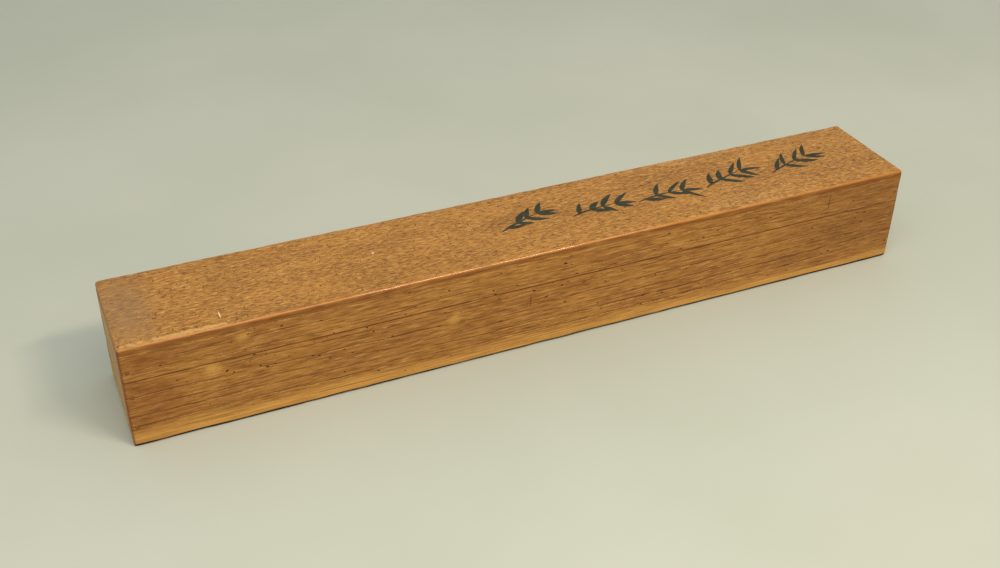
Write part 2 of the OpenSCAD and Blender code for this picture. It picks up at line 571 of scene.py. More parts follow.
@dataclass(frozen=True)
class Arrises:
    """How the box's edges are eased.

    Attributes:
        top: Radius of the lid's upper edges.
        corner: Radius of the upright corners.
        base: Radius of the lower edges.
        seam: Radius of the edges that meet at the lid's seam.
        joint: Radius of the edges at glued joints.
        fine: Segments of a rounding that is seen.
        coarse: Segments of a joint's small ease.
    """

    top: float = 1.5
    corner: float = 1.0
    base: float = 1.0
    seam: float = 0.3
    joint: float = 0.12
    fine: int = 6
    coarse: int = 2

    def between(self, a: Side, b: Side, outside: frozenset[Side], seam: Side | None) -> tuple[float, int]:
        """Gives the easing of the edge between two faces of a board.

        Args:
            a: One face.
            b: The face that it meets.
            outside: The board's faces that show on the closed box.
            seam: The board's face at the lid's seam.

        Returns:
            The radius, and how many segments it gets.
        """
        if a in outside and b in outside:
            if Side.TOP in (a, b):
                return self.top, self.fine
            if Side.BASE in (a, b):
                return self.base, self.fine
            return self.corner, self.fine
        if seam in (a, b) and (a in outside or b in outside):
            return self.seam, self.coarse
        return self.joint, self.coarse


def spread(length: float, step: float) -> list[float]:
    """Places points between the ends of a length, closer together near its ends.

    Args:
        length: Length to divide.
        step: Distance between the points in the middle.

    Returns:
        Distances from the start, in order, without 0 and the length itself.
    """
    near = [d for d in (0.9, 2.1, 3.8, 6.0) if d < length / 2 - 0.4]
    first = near[-1] if near else 0.0
    count = max(1, round((length - 2 * first) / step))
    middle = [first + (length - 2 * first) * i / count for i in range(1, count)]
    return near + middle + [length - d for d in reversed(near)]


def smooth_fade(value: float, reach: float) -> float:
    """Falls smoothly from 1 at 0 to 0 at the reach."""
    t = min(max(value / reach, 0.0), 1.0)
    return 1.0 - t * t * (3.0 - 2.0 * t)


@dataclass(frozen=True)
class Wear:
    """Wear of the outer surface, worked out from the place on the box, so that it runs on over the joints.

    Attributes:
        low: Lowest corner of the closed box.
        high: Highest corner of the closed box.
        seam: Height of the seam between body and lid.
        reach: Distance from an arris over which it is worn.
        depth: Depth of the worst wear of an arris.
        rub: Length over which the wear of an arris comes and goes.
        knock: Length of a short knock in an arris.
        sag: Depth of the slow unevenness of the faces.
        sag_run: Length over which the faces' unevenness comes and goes.
        sag_reach: Distance behind a face at which its unevenness has faded out.
        bow: Rise of the underside halfway along, where the board has cupped.
        bow_reach: Height above the underside at which the rise has faded out.
    """

    low: Vector
    high: Vector
    seam: float
    reach: float = 3.4
    depth: float = 0.55
    rub: float = 17.0
    knock: float = 4.5
    sag: float = 0.16
    sag_run: float = 38.0
    sag_reach: float = 4.0
    bow: float = 0.4
    bow_reach: float = 3.5

    def gap(self, point: Vector, side: Side) -> float:
        """Distance of a point in from a face of the box."""
        edge = self.high if side.sign > 0 else self.low
        return (edge[side.axis] - point[side.axis]) * side.sign

    def inward(self, side: Side) -> Vector:
        """Unit vector from a face into the box."""
        way = Vector((0.0, 0.0, 0.0))
        way[side.axis] = -side.sign
        return way

    def on_face(self, side: Side, across: float, up: float) -> Vector:
        """Point on a face of the closed box, from its places on the face's two axes."""
        spot = [across, up]
        spot.insert(side.axis, (self.high if side.sign > 0 else self.low)[side.axis])
        return Vector(spot)

    def moved(self, point: Vector) -> Vector:
        """Gives where a point of the new surface is after the wear.

        Args:
            point: Point in millimetres.

        Returns:
            The worn point.
        """
        shift = Vector((0.0, 0.0, 0.0))
        slow = self.sag * (0.5 + 0.5 * noise.noise(point / self.sag_run))
        for side in Side:
            shift += self.inward(side) * (slow * smooth_fade(abs(self.gap(point, side)), self.sag_reach))
        rub = 0.25 + 0.75 * noise.noise(point / self.rub) + 0.35 * noise.noise(point / self.knock)
        # A worn arris is flattened towards both of its faces, so each gets its part of the depth.
        part = 0.7 * self.depth * max(0.0, rub)
        for a, b in combinations(Side, 2):
            if a.axis != b.axis:
                away = math.hypot(self.gap(point, a), self.gap(point, b))
                shift += (self.inward(a) + self.inward(b)) * (part * smooth_fade(away, self.reach))
        arch = 1.0 - (point.x / self.high.x) ** 2
        shift.z += self.bow * arch * smooth_fade(self.gap(point, Side.BASE), self.bow_reach)
        return point + shift


@dataclass
class Board:
    """One planed board: a long block with its own easing on each edge, and its ends closed.

    Attributes:
        node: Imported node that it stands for.
        run: Axis that the board is long on.
        outside: Faces that show on the closed box.
        seam: Face at the lid's seam, if it has one.
        eases: Radius and segments of edges that differ from the usual, by pair of faces.
        step: Distance between points along the board.
        turned_out: Cosine of the angle up to which a face of the board still counts as part of the box's.
    """

    node: str
    run: Run
    outside: frozenset[Side] = frozenset()
    seam: Side | None = None
    eases: dict[frozenset[Side], tuple[float, int]] = field(default_factory=dict)
    arrises: Arrises = Arrises()
    step: float = 4.5
    turned_out: float = 0.25

    def ease(self, a: Side, b: Side) -> tuple[float, int]:
        """Radius and segments of the edge between two faces."""
        usual = self.arrises.between(a, b, self.outside, self.seam)
        return self.eases.get(frozenset((a, b)), usual)

    def stations(self, length: float, ends: tuple[float, float]) -> list[tuple[float, float]]:
        """Places the sections along the board.

        Args:
            length: Length of the board.
            ends: Largest radius at its low end and at its high end.

        Returns:
            For each section, its distance from the low end and from the high end.
        """
        low, high = ends
        turn = [i * math.pi / (2 * self.arrises.fine) for i in range(self.arrises.fine + 1)]
        first = [low * (1 - math.cos(t)) for t in turn]
        last = [length - high * (1 - math.cos(t)) for t in reversed(turn)]
        middle = [low + d for d in spread(length - low - high, self.step)]
        return [(d, length - d) for d in first + middle + last]

    def section(self, low: Vector, high: Vector, away: tuple[float, float]) -> list[tuple[float, float]]:
        """Gives the board's outline at one place along it.

        Args:
            low: Lowest corner of the board.
            high: Highest corner of the board.
            away: Distance from the low end and from the high end.

        Returns:
            Points across the board, in order round it.
        """
        run, first, second = self.run.value, 1 - self.run.value, 2
        end = Side((run, -1 if away[0] < away[1] else 1))
        corners = ((-1, -1, 180), (1, -1, 270), (1, 1, 0), (-1, 1, 90))
        arcs = []
        for sign_a, sign_b, start in corners:
            side_a, side_b = Side((first, sign_a)), Side((second, sign_b))
            radius, segments = self.ease(side_a, side_b)
            in_a, in_b = (drawn_in(min(away), self.ease(end, s)[0]) for s in (side_a, side_b))
            edge_a = (high if sign_a > 0 else low)[first] - sign_a * in_a
            edge_b = (high if sign_b > 0 else low)[second] - sign_b * in_b
            left = max(radius - min(in_a, in_b), 0.02)
            centre = (edge_a - sign_a * left, edge_b - sign_b * left)
            turns = [math.radians(start + 90 * i / segments) for i in range(segments + 1)]
            arcs.append([(centre[0] + left * math.cos(t), centre[1] + left * math.sin(t)) for t in turns])
        outline = []
        for index, arc in enumerate(arcs):
            outline += arc
            begin, finish = arc[-1], arcs[(index + 1) % 4][0]
            span = (high[first] - low[first]) if index % 2 == 0 else (high[second] - low[second])
            for d in spread(span, self.step * 1.3):
                t = d / span
                outline.append(tuple(b + (f - b) * t for b, f in zip(begin, finish)))
        return outline

    def block(self) -> BMesh:
        """Builds the new board.

        Returns:
            Its mesh, in millimetres.
        """
        low, high = (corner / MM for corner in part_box(self.node))
        run = self.run.value
        sides = [Side((a, s)) for a in (1 - run, 2) for s in (-1, 1)]
        ends = tuple(max(self.ease(Side((run, sign)), side)[0] for side in sides) for sign in (-1, 1))
        mesh = bmesh.new()
        rings = []
        for away in self.stations(high[run] - low[run], ends):
            ring = []
            for a, b in self.section(low, high, away):
                point = Vector((0.0, 0.0, b))
                point[run] = low[run] + away[0]
                point[1 - run] = a
                ring.append(mesh.verts.new(point))
            rings.append(ring)
        skin(mesh, rings)
        bmesh.ops.recalc_face_normals(mesh, faces=mesh.faces)
        return mesh

    def part_of(self, face: BMFace, wear: Wear) -> Side | None:
        """Gives the face of the closed box that a face of the new board is part of.

        Args:
            face: Face of the new board.
            wear: Wear of the outside, for the size of the box.

        Returns:
            The face of the box, or None where the board's face is hidden.
        """
        middle = face.calc_center_median()
        close = [side for side in self.outside if wear.gap(middle, side) < self.arrises.top]
        turned = {side: -face.normal.dot(wear.inward(side)) for side in close}
        best = max(turned, key=turned.get, default=None)
        return best if best and turned[best] > self.turned_out else None

    def build(
        self, wear: Wear, aged: Material, inside: Material, **special: Material
    ) -> Object:
        """Makes the board as an object.

        Args:
            wear: Wear of the box's outside.
            aged: Material of the faces that show on the closed box.
            inside: Material of the others.
            **special: Material of a face of the box that differs, by the face's name.

        Returns:
            The object, in metres.
        """
        mesh = self.block()
        slots = [inside, aged, *special.values()]
        for face in mesh.faces:
            side = self.part_of(face, wear)
            if side:
                face.material_index = slots.index(special.get(side.name, aged))
        for vertex in mesh.verts:
            vertex.co = wear.moved(vertex.co)
        return finished_object(f"old_{self.node}", mesh, slots)


def skin(mesh: BMesh, rings: list[list[BMVert]]) -> list[BMFace]:
    """Closes a row of sections into a solid, whose normals still have to be made to agree.

    Args:
        mesh: Mesh that the points are in.
        rings: Points round each section, all in the same order.

    Returns:
        The faces that close its two ends.
    """
    for ring, after in zip(rings, rings[1:]):
        for i, vertex in enumerate(ring):
            j = (i + 1) % len(ring)
            mesh.faces.new((vertex, ring[j], after[j], after[i]))
    return [mesh.faces.new(ring) for ring in (rings[0], rings[-1])]


def drawn_in(away: float, radius: float) -> float:
    """How far a rounded edge draws a face in, at a distance from the end that it rounds into."""
    return radius - math.sqrt(max(radius**2 - (radius - away) ** 2, 0.0)) if away < radius else 0.0


def finished_object(
    name: str, mesh: BMesh, materials: Iterable[Material]
) -> Object:
    """Turns a mesh in millimetres into an object in metres, smooth but for its sharp edges.

    Args:
        name: Name of the piece.
        mesh: The mesh, which is used up.
        materials: Its materials, in slot order.

    Returns:
        The object.
    """
    bmesh.ops.scale(mesh, vec=(MM, MM, MM), verts=mesh.verts)
    data = bpy.data.meshes.new(name)
    mesh.to_mesh(data)
    mesh.free()
    for material in materials:
        data.materials.append(material)
    data.shade_smooth()
    data.set_sharp_from_angle(angle=SHARP)
    piece = bpy.data.objects.new(name, data)
    bpy.context.scene.collection.objects.link(piece)
    return piece


# --------------------------------------------------------------------------------------------------
# Holes


@dataclass(frozen=True)
class Gallery:
    """Short open gallery or flight hole of a wood beetle.

    Attributes:
        side: Face that it is in.
        across: Place on the face along X, or along Y on an end.
        up: Place on the face's other axis.
        length: Length of the opening.
        width: Width of the opening.
        turn: Turn from the grain, in degrees.
    """

    side: Side
    across: float
    up: float
    length: float = 1.6
    width: float = 1.0
    turn: float = 0.0

    def point(self, wear: Wear) -> Vector:
        """Gives the middle of the opening, in millimetres."""
        return wear.on_face(self.side, self.across, self.up)

    def clear_of(self, other: Gallery, apart: float) -> bool:
        """Tells whether another gallery's middle is that far from this one's end."""
        away = math.hypot(self.across - other.across, self.up - other.up)
        return self.side is not other.side or away > apart + self.length / 2

    def cut(self, mesh: BMesh, wear: Wear) -> None:
        """Adds the rough hollow to a cutter's mesh.

        Args:
            mesh: The cutter, in millimetres.
            wear: Wear of the outside, for the size of the box.
        """
        at = self.point(wear)
        made = bmesh.ops.create_icosphere(mesh, subdivisions=2, radius=1.0)["verts"]
        sizes = [self.length / 2, self.width / 2]
        sizes.insert(self.side.axis, 0.3 + 0.3 * self.width)
        spin = Matrix.Rotation(math.radians(self.turn), 3, "XYZ"[self.side.axis])
        for vertex in made:
            rough = 1.0 + 0.3 * noise.noise(vertex.co * 1.7 + at)
            vertex.co = at + spin @ Vector(c * s * rough for c, s in zip(vertex.co, sizes))


# Openings on the front that are large enough to be placed singly. A row gives the place across and up, the
# length, the width and the turn.
FRONT_GALLERIES = tuple(
    Gallery(Side.FRONT, *row)
    for row in (
        (8, 59, 2.5, 1.7, 8), (6, 43, 1.6, 1.1), (-79, 34, 3.0, 0.9, 4), (-42, 51, 1.8, 1.0),
        (-98, 64, 1.6, 1.0), (-72, 59, 1.8, 1.1), (-37, 63, 1.4, 0.9), (-75, 43, 1.7, 0.9),
        (-101, 49, 1.5, 0.9), (76, 33, 1.6, 0.9), (100, 32, 1.5, 1.0), (14, 33, 1.6, 0.9),
        (-178, 62, 2.0, 1.3), (-196, 46, 1.9, 1.2), (-189, 35, 2.6, 1.0, 8), (-193, 37, 1.6, 1.1),
        (-184, 36, 2.2, 0.9, 12), (-213, 39, 2.4, 1.2, -30), (-209, 37, 1.5, 1.0),
        (-161, 35, 2.0, 1.1, 10), (-157, 34, 2.6, 1.0, 6), (-141, 34, 2.2, 1.0, 14),
        (-136, 30, 1.6, 0.9), (-126, 46, 2.0, 0.9, 10), (-110, 35, 2.2, 1.0), (-154, 59, 1.8, 0.9),
        (-250, 54, 1.7, 1.0), (-242, 41, 1.8, 0.9), (-122, 42, 1.5, 1.0), (233, 55, 1.7, 1.0),
        (164, 57, 1.6, 1.0), (120, 42, 1.6, 0.9), (241, 22, 1.5, 0.9), (261, 31, 1.5, 1.0),
        (-142, 17, 1.4, 0.9),
    )
)


@dataclass
class Beetles:
    """The galleries on all faces: the large ones where they are, and small ones scattered in loose groups.

    Attributes:
        large: Galleries large enough to be known by their places.
        counts: How many are scattered on each face, before those that lie badly are left out.
        groups: How many loose groups a face has.
        grouped: Share of the scattered ones that lie in a group.
        group_size: Spread of a group along and across the grain.
        slant: Greatest turn from the grain, in degrees.
        seed: Seed of the scatter.
        apart: Least distance between two openings.
    """

    large: tuple[Gallery, ...]
    counts: tuple[tuple[Side, int], ...] = (
        (Side.FRONT, 105),
        (Side.BACK, 85),
        (Side.TOP, 22),
        (Side.LEFT, 8),
        (Side.RIGHT, 9),
    )
    groups: int = 5
    grouped: float = 0.35
    group_size: tuple[float, float] = (16.0, 4.0)
    slant: float = 16.0
    seed: int = 11
    apart: float = 2.6

    def all(self, wear: Wear) -> list[Gallery]:
        """Gives every gallery on the box.

        Args:
            wear: Wear of the outside, for the size of the box.

        Returns:
            The large galleries, then the scattered ones.
        """
        draw = random.Random(self.seed)
        found = list(self.large)
        half_length, half_width, height = wear.high.x, wear.high.y, wear.high.z
        for side, count in self.counts:
            reach = half_width if side.axis == 0 else half_length
            low, high = (-half_width, half_width) if side.axis == 2 else (0.0, height)
            middles = [
                (draw.uniform(-reach, reach), draw.uniform(low + 20, high - 8)) for _ in range(self.groups)
            ]
            for _ in range(count):
                if draw.random() < self.grouped:
                    spot = draw.choice(middles)
                    across, up = (draw.gauss(place, size) for place, size in zip(spot, self.group_size))
                else:
                    across, up = draw.uniform(-reach, reach), draw.uniform(low + 4, high - 4)
                width = 0.5 + 0.6 * draw.random() ** 2
                length = width * draw.uniform(1.5, 3.6)
                one = Gallery(side, across, up, length, width, draw.uniform(-self.slant, self.slant))
                inside = abs(across) < reach - 5 and low + 4 < up < high - 5
                if inside and all(other.clear_of(one, self.apart) for other in found):
                    found.append(one)
        return found


@dataclass(frozen=True)
class Peg:
    """Wooden peg in its drilled hole.

    Attributes:
        head: Middle of its head on the box's outside.
        way: Unit vector that it goes in along.
        length: Its length.
        radius: Its radius.
        clear: Width of the dark gap that shows round it.
        sunk: Depth of the head below the surface.
    """

    head: Vector
    way: Vector
    length: float
    radius: float
    clear: float = 0.12
    sunk: float = 0.12

    def ends(self) -> tuple[Vector, Vector]:
        """Points just inside its head and its tip."""
        return self.head + self.way, self.head + self.way * (self.length - 1.0)

    def place(self, depth: float) -> Matrix:
        """Matrix that puts a cylinder's middle that deep on the peg's axis, with its Z along the peg."""
        turn = self.way.to_track_quat("Z", "Y").to_matrix().to_4x4()
        return Matrix.Translation(self.head + self.way * depth) @ turn

    def cut(self, mesh: BMesh) -> None:
        """Adds the drilled hole to a cutter's mesh.

        Args:
            mesh: The cutter, in millimetres.
        """
        wide = self.radius + self.clear
        bmesh.ops.create_cone(
            mesh,
            cap_ends=True,
            segments=20,
            radius1=wide,
            radius2=wide,
            depth=self.length + 2.0,
            matrix=self.place((self.length + 0.2) / 2 - 0.9),
        )

    def fill(self, mesh: BMesh, draw: random.Random) -> None:
        """Adds the peg itself, split from a stick and pared roughly round, with a slightly domed head.

        Args:
            mesh: Mesh of the pegs, in millimetres.
            draw: Source of the small differences between pegs.
        """
        sides = 20
        shape = [self.radius * (1 - 0.07 * draw.random()) for _ in range(sides)]
        turn = self.place(0.0)
        # A domed head, a straight shank and a pared tip, as depths with their shares of the radius
        profile = [(self.sunk + 0.12 * (1 - math.cos(a)), math.cos(a)) for a in (1.2, 0.8, 0.35)]
        profile += [(self.sunk + 0.35, 1.0), (self.length - 0.5, 1.0), (self.length - 0.1, 0.75)]
        rings = []
        for depth, share in profile:
            ring = []
            for i, radius in enumerate(shape):
                angle = 2 * math.pi * i / sides
                spot = Vector((math.cos(angle), math.sin(angle), 0.0)) * radius * share
                ring.append(mesh.verts.new(turn @ (spot + Vector((0.0, 0.0, depth)))))
            rings.append(ring)
        skin(mesh, rings)


def hollow_out(piece: Object, cutter: BMesh, wall: Material) -> None:
    """Cuts a mesh out of a piece, and gives the walls of the cuts their own material.

    Args:
        piece: Piece that is cut.
        cutter: What is cut out, in millimetres. It is used up.
        wall: Material of the walls.
    """
    tool = finished_object("cutter", cutter, [wall])
    cut = piece.modifiers.new("cut", "BOOLEAN")
    cut.operation = "DIFFERENCE"
    cut.solver = "EXACT"
    cut.material_mode = "TRANSFER"
    cut.object = tool
    graph = bpy.context.evaluated_depsgraph_get()
    mesh = bpy.data.meshes.new_from_object(piece.evaluated_get(graph))
    piece.modifiers.clear()
    piece.data = mesh
    mesh.shade_smooth()
    mesh.set_sharp_from_angle(angle=SHARP)
    bpy.data.objects.remove(tool)


def joined_to(piece: Object, node: str, body: str) -> None:
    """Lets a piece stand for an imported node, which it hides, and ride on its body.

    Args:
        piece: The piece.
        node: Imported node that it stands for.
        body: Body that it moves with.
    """
    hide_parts(node)
    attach(piece, body)
    LOG.info("%s: %d faces, stands for %s on %s", piece.name, len(piece.data.polygons), node, body)


# --------------------------------------------------------------------------------------------------
# Sub-assemblies


def top_marks(top: float) -> tuple[Mark, ...]:
    """Gives the marks on the lid's top, from the left to the right.

    Args:
        top: Height of the top.

    Returns:
        The marks.
    """
    return (
        Mark((-262.0, 0.0, top), (26.0, 60.0, 4.0), "#82684a", 0.5, 0.9),
        Mark((-236.0, -35.8, top), (40.0, 2.2, 2.0), "#d3a866", 0.5, 0.5, 1.9),
        Mark((-211.0, -26.0, top), (0.4, 4.5, 1.0), "#f0d8ac", 0.8, 0.5, 0.3),
        Mark((-107.0, 3.0, top), (0.9, 0.8, 1.0), "#ecdcc4", 0.9, 0.4, 0.2),
    )


def lid_marks(front: float) -> tuple[Mark, ...]:
    """Gives the marks on the lid's front: dark ends, an old drop and a scratch.

    Args:
        front: Place of the front on Y.

    Returns:
        The marks.
    """
    return (
        Mark((-258.0, front, 60.0), (30.0, 6.0, 14.0), "#6e3513", 0.35, 1.0),
        Mark((-201.5, front, 60.5), (6.5, 2.0, 4.5), "#b98a44", 0.75, 0.9),
        Mark((245.0, front, 60.0), (110.0, 6.0, 30.0), "#6b4119", 0.3, 1.0),
        Mark((212.0, front, 58.5), (0.5, 1.0, 7.5), "#4a2208", 0.7, 0.4, 0.2),
    )


def body_marks(front: float) -> tuple[Mark, ...]:
    """Gives the marks on the body's front: dark ends, two old drops, a drip that ran down and a short cut.

    Args:
        front: Place of the front on Y.

    Returns:
        The marks.
    """
    return (
        Mark((-258.0, front, 30.0), (34.0, 6.0, 34.0), "#6e3513", 0.4, 1.0),
        Mark((245.0, front, 34.0), (110.0, 6.0, 40.0), "#6b4119", 0.4, 1.0),
        Mark((-221.5, front, 43.0), (8.0, 2.0, 6.5), "#b98a44", 0.85, 0.9),
        Mark((-68.5, front, 37.0), (6.5, 2.0, 5.0), "#b98a44", 0.75, 0.9),
        Mark((-16.0, front, 36.5), (0.9, 1.0, 6.0), "#742d10", 0.6, 0.4, 0.4),
        Mark((-37.0, front, 26.0), (2.2, 1.0, 0.8), "#3a1c0a", 0.8, 0.4, 0.3),
    )


@dataclass(frozen=True)
class Finishes:
    """The finishes that the box is built with, made once."""

    top: Material
    lid_side: Material
    body_side: Material
    end: Material
    inside: Material
    inside_end: Material
    lining: Material
    peg: Material
    gallery: Material
    hole: Material
    ink: Material

    @classmethod
    def make(cls, wear: Wear) -> Finishes:
        """Makes them all.

        Args:
            wear: Wear of the outside, for the places of arrises and seams.

        Returns:
            The finishes.
        """
        x, y, z = wear.high
        # The outside has gone brown from light, hands and the smoke of a hearth. Hands keep the top's long
        # arrises smooth and orange, and dust has stayed dark under the arrises. The dark line in the seam
        # is dust and painted shade of its groove.
        grime = tuple(Band((None, side * y, z - 3.0), 2.4, "#6c370f", 0.6) for side in (-1, 1))
        arrises = tuple(Band((None, side * y, z), 1.9, "#ad6a18", 1.0, 0.36) for side in (-1, 1))
        arrises += tuple(Band((side * x, None, z), 1.8, "#a46a2b", 0.7, 0.2) for side in (-1, 1))
        # Painted contact shadow: near-black along the foot of the long sides and dark brown along the foot
        # of the ends, standing in for the shade in the thin gap under the box.
        painted_foot_shadow = tuple(Band((None, side * y, 0.0), 2.5, "#1e0d03", 2.4) for side in (-1, 1))
        painted_foot_shadow += tuple(Band((side * x, None, 0.0), 1.7, "#3a1e0a", 1.6) for side in (-1, 1))
        uprights = [(a * x, b * y, None) for a in (-1, 1) for b in (-1, 1)]
        corners = tuple(Band(upright, 1.8, "#6e320e", 0.85, 0.1) for upright in uprights)
        # Dark line along the lid's seam: dust in the groove, and painted shade of the groove.
        seam = (Band((None, None, wear.seam), 0.7, "#4a220a", 0.8),)
        aged = Paulownia(
            name="aged paulownia, lid board",
            light="#b47f39",
            deep="#754a1d",
            late="#663b16",
            vessel="#402612",
            chalk="#dcb677",
            marks=top_marks(z),
            bands=arrises + corners,
            swells=(Swell(-40, 170, 3.0), Swell(150, 60, -2.5)),
            late_share=0.4,
            fleck=4.2,
            dust_share=0.36,
            nick_share=0.8,
            roughness=0.5,
        )
        lid_side = replace(
            aged,
            name="aged paulownia, lid sides",
            light="#aa7738",
            deep="#76481f",
            late="#4a2308",
            vessel="#4c260c",
            chalk="#d0a465",
            streak=40.0,
            fleck=9.0,
            late_share=0.68,
            chalk_share=0.55,
            vessel_share=0.45,
            dust_share=0.28,
            nick_share=0.0,
            marks=lid_marks(-y),
            bands=grime + arrises + corners + seam,
            swells=(Swell(0, 170, 3.5), Swell(-125, 40, -2.0), Swell(212, 35, -2.5)),
        )
        body_side = replace(
            lid_side,
            name="aged paulownia, body sides",
            marks=body_marks(-y),
            bands=corners + painted_foot_shadow + seam,
            swells=(Swell(0, 190, -3.2),),
            sapwood="#c9944a",
        )
        # Painted reflection: the ends' paler light and deep colours stand in for the bright grazing
        # reflection that the left end catches.
        end = replace(
            body_side,
            name="aged paulownia, ends, paler as painted reflection",
            marks=(),
            bands=arrises + corners + painted_foot_shadow + seam,
            swells=(),
            run=Run.ACROSS,
            light="#cba05e",
            deep="#946c3a",
            pith=(0.0, -160.0),
        )
        # Inside, the wood has hardly seen light or hands: pale, dry and matt, with fine planed fibres.
        inside = Paulownia(
            name="pale paulownia, inside",
            light="#d9b98a",
            deep="#c5a070",
            late="#a67c4c",
            vessel="#97703f",
            chalk="#e6cfa6",
            roughness=0.68,
            relief=0.06,
            vessel_share=0.4,
        )
        inside_end = replace(inside, name="pale paulownia, inside of the ends", run=Run.ACROSS)
        lining = replace(inside, name="pale paulownia, lip and rests", light="#d2b080", pith=(160.0, 60.0))
        # Pegs are split from hard deutzia wood. Their end grain has drunk dirt and looks dark and dense.
        peg = Plain("deutzia end grain", "#94642f", "#6a4119", (0.5, 0.5, 0.5), 0.6)
        # Old beetle galleries: brown bore dust packed on rough walls.
        gallery = Plain("beetle gallery wall", "#743a14", "#42200b", (0.6, 0.6, 0.6), 0.9, 0.06)
        # Wall of a drilled hole, painted dark as the shade in the narrow gap round a peg, with dust in it.
        hole = Plain("drilled hole wall, painted shade", "#4a2a12", "#2a1608", (0.7, 0.7, 0.7), 0.9, 0.05)
        # Carbon ink brushed on bare wood: it soaks in, dries matt and lets the fibres show here and there.
        ink = Plain("brushed carbon ink", "#22271f", "#3f3f2e", (7.0, 0.8, 0.8), 0.8, 0.03, 0.15)
        woods = (aged, lid_side, body_side, end, inside, inside_end, lining, peg, gallery, hole, ink)
        return cls(*(finish.build() for finish in woods))


@dataclass
class Box:
    """The boards of lid and body, with their beetle holes and pegs.

    Attributes:
        wear: Wear of the outside.
        finishes: Materials.
        beetles: Galleries of wood beetles.
        peg_radius: Radius of the pegs.
        peg_length: Length of the level corner pegs.
        base_peg_length: Length of the pegs up through the bottom board.
        base_peg_count: How many pegs a long side has from below.
        seed: Seed of the differences between pegs.
    """

    wear: Wear
    finishes: Finishes
    beetles: Beetles
    peg_radius: float = 1.1
    peg_length: float = 20.0
    base_peg_length: float = 18.0
    base_peg_count: int = 6
    seed: int = 5

    def boards(self) -> list[tuple[Board, str, dict[str, Material]]]:
        """Lists the outside boards.

        Returns:
            Each board, with its body and its materials as Board.build takes them.
        """
        made = self.finishes
        ends, sides = frozenset((Side.LEFT, Side.RIGHT)), frozenset((Side.FRONT, Side.BACK))
        top = Board("lid_top_board", Run.ALONG, ends | sides | {Side.TOP})
        bottom = Board("bottom_board", Run.ALONG, ends | sides | {Side.BASE})
        lid_wood = {"aged": made.lid_side, "inside": made.inside}
        body_wood = {"aged": made.body_side, "inside": made.inside}
        end_wood = {"aged": made.end, "inside": made.inside_end}
        listed = [(top, "lid", {**lid_wood, "TOP": made.top}), (bottom, "box_body", body_wood)]
        for side in (Side.FRONT, Side.BACK):
            seen = ends | {side}
            rim = Board(f"lid_{side.word}_rim", Run.ALONG, seen, Side.BASE)
            wall = Board(f"body_{side.word}_side", Run.ALONG, seen, Side.TOP)
            listed += [(rim, "lid", lid_wood), (wall, "box_body", body_wood)]
        for side in (Side.LEFT, Side.RIGHT):
            rim = Board(f"lid_{side.word}_rim", Run.ACROSS, frozenset((side,)), Side.BASE)
            wall = Board(f"body_{side.word}_end", Run.ACROSS, frozenset((side,)), Side.TOP)
            listed += [(rim, "lid", end_wood), (wall, "box_body", end_wood)]
        return listed

    def pegs(self) -> dict[str, list[Peg]]:
        """Places the pegs.

        Returns:
            The pegs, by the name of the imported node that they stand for.
        """
        found = {}
        for node in ("lid_corner_pegs", "body_corner_pegs"):
            low, high = (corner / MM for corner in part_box(node))
            heights = {low.z + self.peg_radius, high.z - self.peg_radius}
            if high.z - low.z < 3 * self.peg_radius:
                heights = {(low.z + high.z) / 2}
            x, y = high.x - self.peg_radius, self.wear.high.y
            spots = [(side * x, face, z) for side in (-1, 1) for face in (-1, 1) for z in sorted(heights)]
            found[node] = [
                self.peg(Vector((x, face * y, z)), Vector((0.0, -face, 0.0)), self.peg_length)
                for x, face, z in spots
            ]
        low, high = (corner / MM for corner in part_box("bottom_pegs"))
        x, y = high.x - self.peg_radius, high.y - self.peg_radius
        length, count = 2 * self.wear.high.x, self.base_peg_count
        spots = [(length * ((i + 0.5) / count - 0.5), side * y) for i in range(count) for side in (-1, 1)]
        spots += [(side * x, end * self.end_peg_y()) for side in (-1, 1) for end in (-1, 1)]
        up = Vector((0.0, 0.0, 1.0))
        found["bottom_pegs"] = [self.peg(Vector((*spot, 0.0)), up, self.base_peg_length) for spot in spots]
        return found

    def end_peg_y(self) -> float:
        """Place across the box of a peg up into an end board: halfway to the tips of the corner pegs."""
        return (self.wear.high.y - self.peg_length) / 2

    def peg(self, head: Vector, way: Vector, length: float) -> Peg:
        """Makes one peg, with its head on the worn surface."""
        return Peg(self.wear.moved(head), way, length, self.peg_radius)

    def build(self) -> None:
        """Builds the boards and the pegs."""
        pegs = self.pegs()
        every_peg = [peg for group in pegs.values() for peg in group]
        galleries = self.beetles.all(self.wear)
        for board, body, materials in self.boards():
            piece = board.build(self.wear, **materials)
            low, high = (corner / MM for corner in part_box(board.node))
            eaten = [g for g in galleries if g.side in board.outside]
            eaten = [g for g in eaten if near(g.point(self.wear), low, high)]
            if eaten:
                cutter = bmesh.new()
                for gallery in eaten:
                    gallery.cut(cutter, self.wear)
                hollow_out(piece, cutter, self.finishes.gallery)
            drilled = [p for p in every_peg if any(near(end, low, high) for end in p.ends())]
            if drilled:
                cutter = bmesh.new()
                for peg in drilled:
                    peg.cut(cutter)
                hollow_out(piece, cutter, self.finishes.hole)
            joined_to(piece, board.node, body)
        draw = random.Random(self.seed)
        for node, group in pegs.items():
            mesh = bmesh.new()
            for peg in group:
                peg.fill(mesh, draw)
            bmesh.ops.recalc_face_normals(mesh, faces=mesh.faces)
            piece = finished_object(f"old_{node}", mesh, [self.finishes.peg])
            joined_to(piece, node, "lid" if node.startswith("lid") else "box_body")


def near(point: Vector, low: Vector, high: Vector, reach: float = 1.5) -> bool:
    """Tells whether a point is in a box or that close to it."""
    return all(a - reach < p < b + reach for p, a, b in zip(point, low, high))


